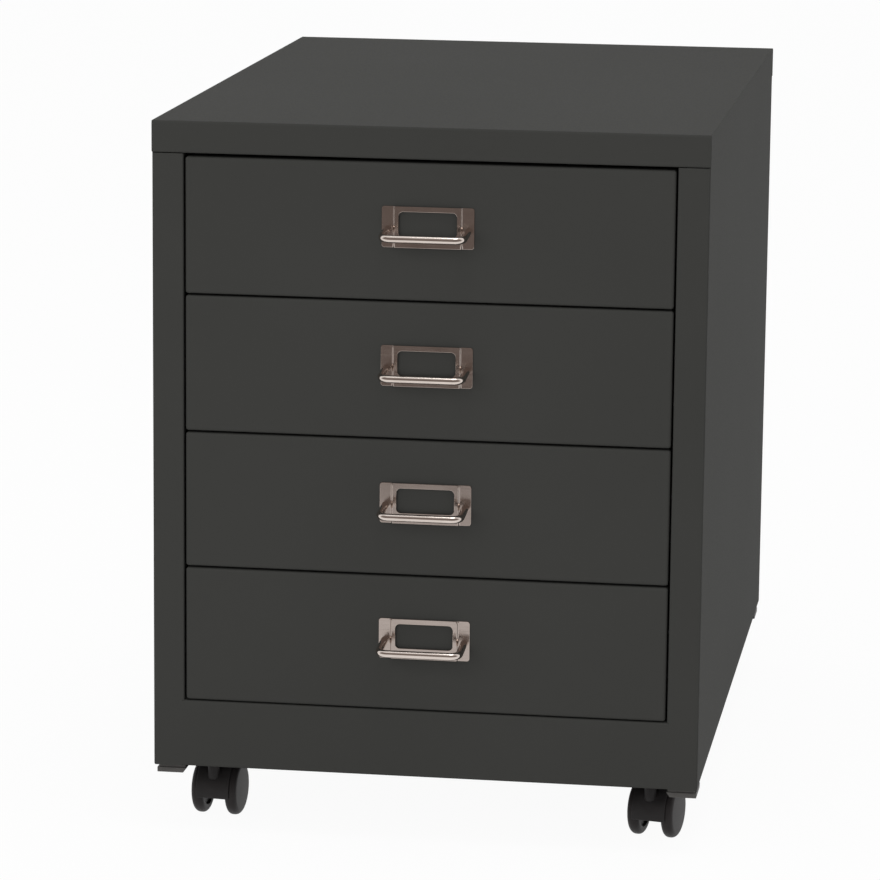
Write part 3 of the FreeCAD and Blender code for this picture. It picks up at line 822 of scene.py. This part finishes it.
@dataclass
class CastorWheel:
    """One castor wheel: a rounded tread, a plain outer face and a hollow inner face."""

    corner: Corner
    side: Side
    tread_radius: float = 20.0 * MM
    inner_face: float = 8.5 * MM
    width: float = 8.9 * MM
    outer_rounding: float = 4.2 * MM
    inner_rounding: float = 3.4 * MM
    tread_steps: int = 10
    recess_radius: float = 14.0 * MM
    recess_depth: float = 2.0 * MM
    boss_radius: float = 6.0 * MM
    bore_radius: float = 3.1 * MM
    small_rounding: float = 0.4 * MM
    small_steps: int = 2
    steps: int = 72
    crease: float = 35.0

    def outline(self) -> list[tuple[float, float, float, int]]:
        """Lists the half section from the bore round to the middle of the outer face.

        Returns:
            Each corner's distance outwards, its radius, its rounding and the rounding's steps.
        """
        return [
            (0.0, self.bore_radius, 0.0, 0),
            (0.0, self.boss_radius, self.small_rounding, self.small_steps),
            (self.recess_depth, self.boss_radius, 0.0, 0),
            (self.recess_depth, self.recess_radius, 0.0, 0),
            (0.0, self.recess_radius, self.small_rounding, self.small_steps),
            (0.0, self.tread_radius, self.inner_rounding, self.tread_steps),
            (self.width, self.tread_radius, self.outer_rounding, self.tread_steps),
            (self.width, 0.0, 0.0, 0),
        ]

    def build(self) -> bpy.types.Object:
        """Spins the wheel where its node is."""
        castor = CastorFrame(self.corner)
        outwards = self.side.outwards()
        hub = castor.axle + Vector((outwards * self.inner_face, 0.0, 0.0))
        shape = bmesh.new()
        section = self.outline()
        corners = [shape.verts.new(hub + Vector((outwards * away, 0.0, radius)))
                   for away, radius, _, _ in section]
        lines = [shape.edges.new(pair) for pair in zip(corners, corners[1:])]
        bmesh.ops.spin(shape, geom=corners + lines, cent=hub, axis=X_AXIS, angle=math.tau,
                       steps=self.steps, use_merge=True, use_duplicate=False)
        bmesh.ops.remove_doubles(shape, verts=shape.verts, dist=MERGE_DISTANCE)
        for away, radius, rounding, steps in section:
            if rounding > 0.0:
                ring = Workbench.edges(shape, self.on_ring(hub, outwards * away, radius))
                Workbench.soften(shape, ring, rounding, steps)
        return Workbench.finish(castor.place(shape), f"castor_wheel_{self.corner}_{self.side}", self.crease)

    @staticmethod
    def on_ring(hub: Vector, away: float, radius: float) -> EdgeTest:
        """Makes a test for the edges of one ring about the axle.

        Args:
            hub: The middle of the wheel's inner face.
            away: The ring's distance from that face along X.
            radius: The ring's radius.

        Returns:
            The test.
        """
        tiny = MM / 100

        def lies(point: Vector) -> bool:
            """Whether a point is on the ring."""
            spoke = point - hub
            return abs(spoke.x - away) < tiny and abs(math.hypot(spoke.y, spoke.z) - radius) < tiny

        return lambda start, end: lies(start) and lies(end)


@dataclass
class CornerFeet:
    """The four bevelled pads under the corners of the body."""

    width: float = 22.0 * MM
    length: float = 31.0 * MM
    thickness: float = 3.8 * MM
    bevel: float = 2.8 * MM
    neck_inset: float = 1.2 * MM
    rounding: float = 0.4 * MM
    steps: int = 3
    crease: float = 30.0

    def add_foot(self, shape: bmesh.types.BMesh, outer: Vector, inwards: Vector, top: float) -> None:
        """Adds one foot.

        Args:
            shape: The shape.
            outer: The pad's outer corner on its underside.
            inwards: The signs of the way to the cabinet's middle.
            top: The level of the neck's top.
        """
        far = outer + Vector((inwards.x * self.width, inwards.y * self.length, self.thickness))
        low = Vector((min(outer.x, far.x), min(outer.y, far.y), outer.z))
        high = Vector((max(outer.x, far.x), max(outer.y, far.y), far.z))
        pad = Workbench.box(low, high)
        for vert in pad.verts:
            if vert.co.z < (low.z + high.z) / 2:
                if abs(vert.co.x - far.x) < self.rounding:
                    vert.co.x -= inwards.x * self.bevel
                if abs(vert.co.y - far.y) < self.rounding:
                    vert.co.y -= inwards.y * self.bevel
        Workbench.soften(pad, pad.edges[:], self.rounding, self.steps)
        inset = Vector((self.neck_inset, self.neck_inset, 0.0))
        neck = Workbench.box(Vector((low.x, low.y, high.z)) + inset, Vector((high.x, high.y, top)) - inset)
        for part in (pad, neck):
            mesh = bpy.data.meshes.new("foot_part")
            part.to_mesh(mesh)
            part.free()
            shape.from_mesh(mesh)
            bpy.data.meshes.remove(mesh)

    def build(self) -> bpy.types.Object:
        """Shapes the four feet where their node is."""
        low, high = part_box("corner_feet")
        shape = bmesh.new()
        for x, along_x in ((low.x, 1.0), (high.x, -1.0)):
            for y, along_y in ((low.y, 1.0), (high.y, -1.0)):
                self.add_foot(shape, Vector((x, y, low.z)), Vector((along_x, along_y, 0.0)), high.z)
        return Workbench.finish(shape, "corner_foot_pads", self.crease)


class Cabinet:
    """The whole cabinet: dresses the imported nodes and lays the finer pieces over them."""

    def __init__(self) -> None:
        """Makes the finishes once."""
        self.materials = {slot: finish.make() for slot, finish in FINISHES.items()}

    def dress(self, piece: bpy.types.Object, slot: str) -> None:
        """Gives a piece one finish all over."""
        piece.data.materials.clear()
        piece.data.materials.append(self.materials[slot])

    def dress_nodes(self) -> None:
        """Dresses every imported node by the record's slots."""
        for entry in frame["record"]["subparts"]:
            self.dress(frame["nodes"][entry["node"]], entry["material_slot"])
            log.info("dressed %s as %s", entry["node"], entry["material_slot"])

    def install(self, piece: bpy.types.Object, body: str, slot: str, node: str) -> None:
        """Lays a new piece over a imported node.

        Args:
            piece: The new piece.
            body: The body that it rides on.
            slot: The material slot that it takes its finish from.
            node: The node that it stands for.
        """
        self.dress(piece, slot)
        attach(piece, body)
        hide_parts(node)
        log.info("built %s over %s: %d faces", piece.name, node, len(piece.data.polygons))

    def build_drawer(self, number: int) -> None:
        """Builds the pieces of one drawer that show."""
        drawer = f"drawer_{number}"
        self.install(DrawerFront(number).build(), drawer, "front_paint", f"{drawer}_front")
        self.install(LabelPlate(number).build(), drawer, "satin_nickel", f"{drawer}_label_plate")
        self.install(PullBar(number).build(), drawer, "bar_nickel", f"{drawer}_pull_bar")

    def build_castor(self, corner: Corner) -> None:
        """Builds one castor's hood and wheels."""
        castor = f"castor_{corner}"
        self.install(CastorHood(corner).build(), castor, "castor_nylon", f"{castor}_hood")
        for side in Side:
            wheel = f"{castor}_{side}_wheel"
            self.install(CastorWheel(corner, side).build(), wheel, "wheel_nylon", wheel)

    def build(self) -> None:
        """Builds the whole cabinet in order."""
        self.dress_nodes()
        for number in DRAWERS:
            self.build_drawer(number)
        for corner in Corner:
            self.build_castor(corner)
        self.install(CornerFeet().build(), "cabinet", "foot_plastic", "corner_feet")


class Surroundings(NodeBench):
    """What lies round the cabinet: white to the camera, and to metal too but for a dim room and for painted shade
    on the floor past a painted pool of light.
    """

    def __init__(self, tree: bpy.types.NodeTree, room_colour: Colour) -> None:
        """Starts from the tree of the floor's material or of the world.

        Args:
            tree: The node tree.
            room_colour: The dim room's colour, which the floor also shows metal as painted shade.
        """
        super().__init__(tree)
        self.room_colour = room_colour
        self.path = self.nodes.new("ShaderNodeLightPath")

    def coordinate(self, space: str, axis: str) -> Socket:
        """Reads one axis of a texture coordinate."""
        place = self.nodes.new("ShaderNodeTexCoord")
        axes = self.nodes.new("ShaderNodeSeparateXYZ")
        self.links.new(place.outputs[space], axes.inputs[0])
        return axes.outputs[axis]

    def combined(self, operation: str, first: Socket, second: Socket) -> Socket:
        """Combines two values.

        Args:
            operation: The Math node's operation.
            first: The first value.
            second: The second value.

        Returns:
            The result.
        """
        node = self.nodes.new("ShaderNodeMath")
        node.operation = operation
        self.links.new(first, node.inputs[0])
        self.links.new(second, node.inputs[1])
        return node.outputs[0]

    def seen_rays(self) -> Socket:
        """Gives 1 for camera, glossy and transmission rays, and 0 for the others."""
        total = self.path.outputs["Is Camera Ray"]
        for name in ("Is Glossy Ray", "Is Transmission Ray"):
            total = self.combined("MAXIMUM", total, self.path.outputs[name])
        return total

    def seen_colour(self, bright: Socket) -> Socket:
        """Gives the colour that those rays find.

        Args:
            bright: 1 where metal sees white, 0 where it sees the dim room; on the floor, 1 is a painted pool of
                light and 0 is painted shade.

        Returns:
            The colour.
        """
        whiteness = self.combined("MAXIMUM", self.path.outputs["Is Camera Ray"], bright)
        return self.blended(whiteness, self.room_colour, WHITE)


@dataclass(frozen=True)
class Softbox:
    """A square soft lamp."""

    name: str
    spot: Point
    size: float
    watts: float
    mirrored: bool

    def hang(self, aim: Vector) -> None:
        """Hangs the lamp at its spot, where metal shows it only if it is mirrored.

        Args:
            aim: The point that it faces.
        """
        lamp = bpy.data.lights.new(self.name, "AREA")
        lamp.shape = "SQUARE"
        lamp.size = self.size
        lamp.energy = self.watts
        holder = bpy.data.objects.new(self.name, lamp)
        holder.location = self.spot
        holder.visible_glossy = self.mirrored
        holder.rotation_euler = (aim - Vector(self.spot)).to_track_quat("-Z", "Y").to_euler()
        bpy.context.scene.collection.objects.link(holder)


SOFTBOXES = (
    Softbox("overhead_softbox", (0.3, -0.9, 3.2), size=1.2, watts=20.0, mirrored=True),
    Softbox("right_softbox", (3.2, -0.6, 1.6), size=2.0, watts=3.0, mirrored=False),
    Softbox("front_softbox", (-1.2, -3.4, 1.2), size=2.0, watts=33.0, mirrored=False),
)


@dataclass
class Studio:
    """The floor, the lamps, the pale surroundings and the camera."""

    eye: Point = (442.9 * MM, -3219.4 * MM, 891.7 * MM)
    right: Point = (0.988974, 0.147764, 0.009754)
    up: Point = (-0.038321, 0.191745, 0.980696)
    lens_mm: float = 173.037
    sensor_mm: float = 36.0
    clip_end: float = 100.0
    aim_height: float = 0.25
    world_light: float = 0.62
    floor_size: float = 60.0
    floor_colour: Colour = (0.9, 0.9, 0.9, 1.0)
    floor_whiteness: float = 0.95
    room_colour: Colour = (0.24, 0.205, 0.19, 1.0)
    room_edge: tuple[float, float] = (-0.5, -0.1)
    room_ceiling: tuple[float, float] = (0.68, 0.84)
    # Metal sees the floor as a painted pool of light up to this line in front, and as painted shade beyond it.
    sheet_edge: float = -1.45
    sheet_blur: float = 0.1

    def add_floor(self) -> None:
        """Lays the floor that the castors stand on."""
        shape = bmesh.new()
        bmesh.ops.create_grid(shape, x_segments=1, y_segments=1, size=self.floor_size / 2)
        mesh = bpy.data.meshes.new("studio_floor")
        shape.to_mesh(mesh)
        shape.free()
        floor = bpy.data.objects.new("studio_floor", mesh)
        bpy.context.scene.collection.objects.link(floor)
        mesh.materials.append(self.floor_material())

    def floor_material(self) -> bpy.types.Material:
        """Makes the floor's white, which still takes a soft shadow.

        Metal sees a painted pool of light on it, white near the cabinet, and painted shade in the dim room's
        colour past the pool's edge in front.

        Returns:
            The material.
        """
        material = bpy.data.materials.new("studio_floor_white")
        material.use_nodes = True
        tree = material.node_tree
        tree.nodes.clear()
        bench = Surroundings(tree, self.room_colour)
        output = tree.nodes.new("ShaderNodeOutputMaterial")
        matte = tree.nodes.new("ShaderNodeBsdfDiffuse")
        matte.inputs["Color"].default_value = self.floor_colour
        # The painted pool of light: 1 near the cabinet, where metal sees white, and 0 past its edge, where metal
        # sees painted shade.
        painted_pool_span = (self.sheet_edge - self.sheet_blur, self.sheet_edge + self.sheet_blur)
        near = bench.mapped(bench.coordinate("Object", "Y"), painted_pool_span, smooth=True)
        glow = tree.nodes.new("ShaderNodeEmission")
        tree.links.new(bench.seen_colour(near), glow.inputs["Color"])
        share = bench.mapped(bench.path.outputs["Is Camera Ray"], (0.0, 1.0), 1.0, self.floor_whiteness)
        glowing = bench.combined("MULTIPLY", bench.seen_rays(), share)
        blend = tree.nodes.new("ShaderNodeMixShader")
        for place, source in enumerate((glowing, matte.outputs[0], glow.outputs[0])):
            tree.links.new(source, blend.inputs[place])
        tree.links.new(blend.outputs[0], output.inputs["Surface"])
        return material

    def add_world(self) -> None:
        """Surrounds the scene with soft light, seen as white but for a dim room in front."""
        world = bpy.data.worlds.new("studio_world")
        world.use_nodes = True
        bpy.context.scene.world = world
        bench = Surroundings(world.node_tree, self.room_colour)
        aside = bench.mapped(bench.coordinate("Generated", "Y"), self.room_edge, smooth=True)
        above = bench.mapped(bench.coordinate("Generated", "Z"), self.room_ceiling, smooth=True)
        seen = bench.seen_colour(bench.combined("MAXIMUM", aside, above))
        light = (self.world_light, self.world_light, self.world_light, 1.0)
        colour = bench.blended(bench.seen_rays(), light, seen)
        bench.links.new(colour, bench.nodes["Background"].inputs["Color"])

    def add_camera(self) -> None:
        """Sets the camera at the photograph's eye point and angle."""
        camera = bpy.data.cameras.new("photo_camera")
        camera.lens = self.lens_mm
        camera.sensor_width = self.sensor_mm
        camera.sensor_fit = "HORIZONTAL"
        camera.clip_end = self.clip_end
        holder = bpy.data.objects.new("photo_camera", camera)
        right = Vector(self.right).normalized()
        back = right.cross(Vector(self.up)).normalized()
        turn = Matrix((right, back.cross(right), back)).transposed().to_4x4()
        holder.matrix_world = Matrix.Translation(Vector(self.eye)) @ turn
        bpy.context.scene.collection.objects.link(holder)
        bpy.context.scene.camera = holder

    def build(self) -> None:
        """Sets up the whole studio."""
        bpy.context.scene.view_settings.view_transform = "Standard"
        self.add_floor()
        self.add_world()
        for softbox in SOFTBOXES:
            softbox.hang(Vector((0.0, 0.0, self.aim_height)))
        self.add_camera()


def main() -> None:
    """Builds the looks of the whole cabinet."""
    logging.basicConfig(level=logging.INFO, format="%(message)s")
    Cabinet().build()
    Studio().build()


if __name__ == "__main__":
    main()
